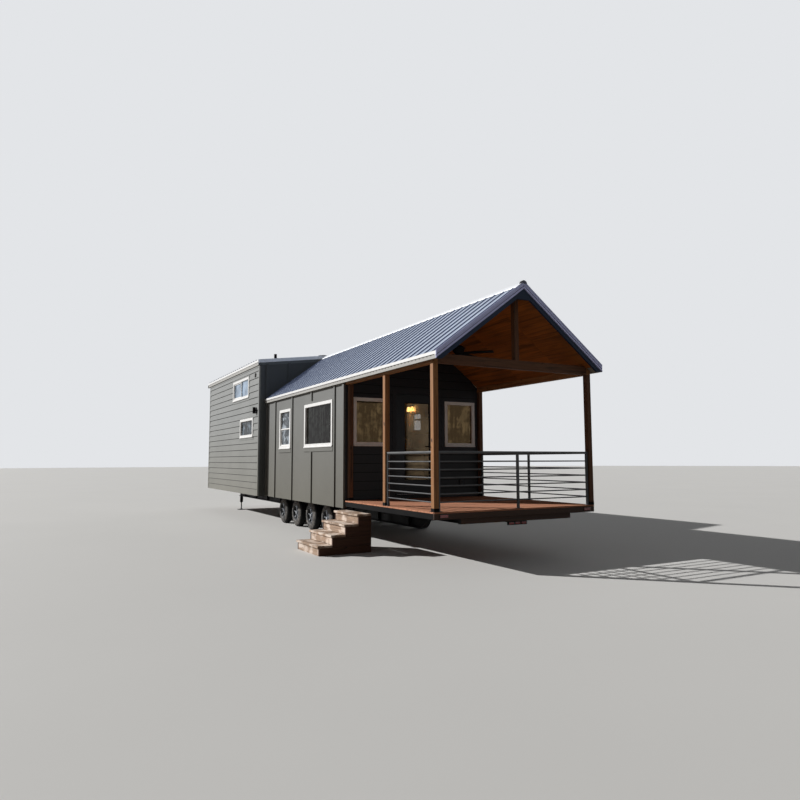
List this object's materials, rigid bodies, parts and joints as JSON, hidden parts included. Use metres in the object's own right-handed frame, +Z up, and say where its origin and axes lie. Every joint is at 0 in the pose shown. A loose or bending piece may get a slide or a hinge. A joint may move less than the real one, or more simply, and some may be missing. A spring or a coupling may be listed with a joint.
{
  "type": "tiny house on wheels",
  "caption": "Narrow gabled cabin on a steel trailer, with a railed timber porch, loose entry steps and a wider, taller lap-sided rear under a low roof.",
  "frame": {"origin": "on the ground under the middle of the whole outline, steps and lamps included", "axes": "+Z up, +Y along the house from the porch to the rear, +X to the right seen from the porch"},
  "size_m": [4.581, 14.839, 4.65],
  "materials": {
    "siding": "painted engineered wood siding",
    "lap_siding": "painted lap siding",
    "roof_metal": "bare coated steel, ribbed",
    "rake_metal": "grey coated trim",
    "white_metal": "white coated trim",
    "dark_board": "dark blue-grey paint",
    "timber": "oiled softwood timber",
    "ceiling_wood": "stained boards",
    "deck_wood": "oiled deck boards",
    "step_wood": "weathered softwood",
    "black_steel": "satin black paint",
    "window_frame": "white vinyl",
    "clear_glass": "clear glazing",
    "door_paint": "satin near-black paint",
    "floor_wood": "floor deck",
    "fan_black": "matt black",
    "cabinet_paint": "painted cabinet fronts",
    "lamp_red": "red lens",
    "tyre_black": "moulded rubber on a silver rim"
  },
  "bodies": {
    "house": {"floor_main": "floor_wood", "floor_rear": "floor_wood", "porch_deck": "deck_wood", "deck_side_rims": "black_steel", "deck_fascia": "timber", "cross_members": "black_steel", "main_rails": "black_steel", "running_gear": "black_steel", "rear_jacks": "black_steel", "wall_left": "siding", "wall_right": "siding", "front_wall_left": "lap_siding", "front_wall_right": "lap_siding", "front_wall_over_door": "lap_siding", "dormer_wall_left": "siding", "dormer_wall_right": "siding", "rear_wall_left": "lap_siding", "rear_wall_right": "lap_siding", "rear_end_wall": "lap_siding", "window_frames": "window_frame", "window_glass": "clear_glass", "door_frame": "door_paint", "main_roof_left": "roof_metal", "main_roof_right": "roof_metal", "roof_sheets": "roof_metal", "ridge_cap": "roof_metal", "rake_trim": "rake_metal", "rake_boards": "dark_board", "eave_trims": "white_metal", "rear_roof_left": "roof_metal", "rear_roof_right": "roof_metal", "roof_vent": "black_steel", "porch_posts": "timber", "post_bases": "black_steel", "header_beams": "timber", "tie_beam": "timber", "king_post": "timber", "porch_ceiling": "ceiling_wood", "railing_left": "black_steel", "railing_front": "black_steel", "railing_right": "black_steel", "fan_mount": "fan_black", "step_treads": "step_wood", "step_risers": "step_wood", "step_sides": "step_wood", "kitchen_counter": "cabinet_paint", "kitchen_faucet": "fan_black", "tail_lights": "lamp_red", "wall_sconces": "black_steel"},
    "door": {"door_panel": "door_paint", "door_glass": "clear_glass"},
    "fan": {"fan_rotor": "fan_black"},
    "wheel_left_1": {"wheel_left_1": "tyre_black"},
    "wheel_right_1": {"wheel_right_1": "tyre_black"},
    "wheel_left_2": {"wheel_left_2": "tyre_black"},
    "wheel_right_2": {"wheel_right_2": "tyre_black"},
    "wheel_left_3": {"wheel_left_3": "tyre_black"},
    "wheel_right_3": {"wheel_right_3": "tyre_black"},
    "wheel_left_4": {"wheel_left_4": "tyre_black"},
    "wheel_right_4": {"wheel_right_4": "tyre_black"}
  },
  "joints": [
    {"name": "door_swing", "type": "hinge", "parent": "house", "child": "door", "pos_m": [-0.114, -3.8182, 1.96], "axis": [0, 0, 1], "range_deg": [0, 95]},
    {"name": "fan_spin", "type": "hinge", "parent": "house", "child": "fan", "pos_m": [0.3455, -5.4805, 3.615], "axis": [0, 0, 1], "continuous": true},
    {"name": "wheel_left_1_roll", "type": "hinge", "parent": "house", "child": "wheel_left_1", "pos_m": [0.3455, -2.1055, 0.335], "axis": [1, 0, 0], "continuous": true},
    {"name": "wheel_right_1_roll", "type": "hinge", "parent": "house", "child": "wheel_right_1", "pos_m": [0.3455, -2.1055, 0.335], "axis": [1, 0, 0], "continuous": true},
    {"name": "wheel_left_2_roll", "type": "hinge", "parent": "house", "child": "wheel_left_2", "pos_m": [0.3455, -1.1155, 0.335], "axis": [1, 0, 0], "continuous": true},
    {"name": "wheel_right_2_roll", "type": "hinge", "parent": "house", "child": "wheel_right_2", "pos_m": [0.3455, -1.1155, 0.335], "axis": [1, 0, 0], "continuous": true},
    {"name": "wheel_left_3_roll", "type": "hinge", "parent": "house", "child": "wheel_left_3", "pos_m": [0.3455, -0.1255, 0.335], "axis": [1, 0, 0], "continuous": true},
    {"name": "wheel_right_3_roll", "type": "hinge", "parent": "house", "child": "wheel_right_3", "pos_m": [0.3455, -0.1255, 0.335], "axis": [1, 0, 0], "continuous": true},
    {"name": "wheel_left_4_roll", "type": "hinge", "parent": "house", "child": "wheel_left_4", "pos_m": [0.3455, 0.8645, 0.335], "axis": [1, 0, 0], "continuous": true},
    {"name": "wheel_right_4_roll", "type": "hinge", "parent": "house", "child": "wheel_right_4", "pos_m": [0.3455, 0.8645, 0.335], "axis": [1, 0, 0], "continuous": true}
  ]
}
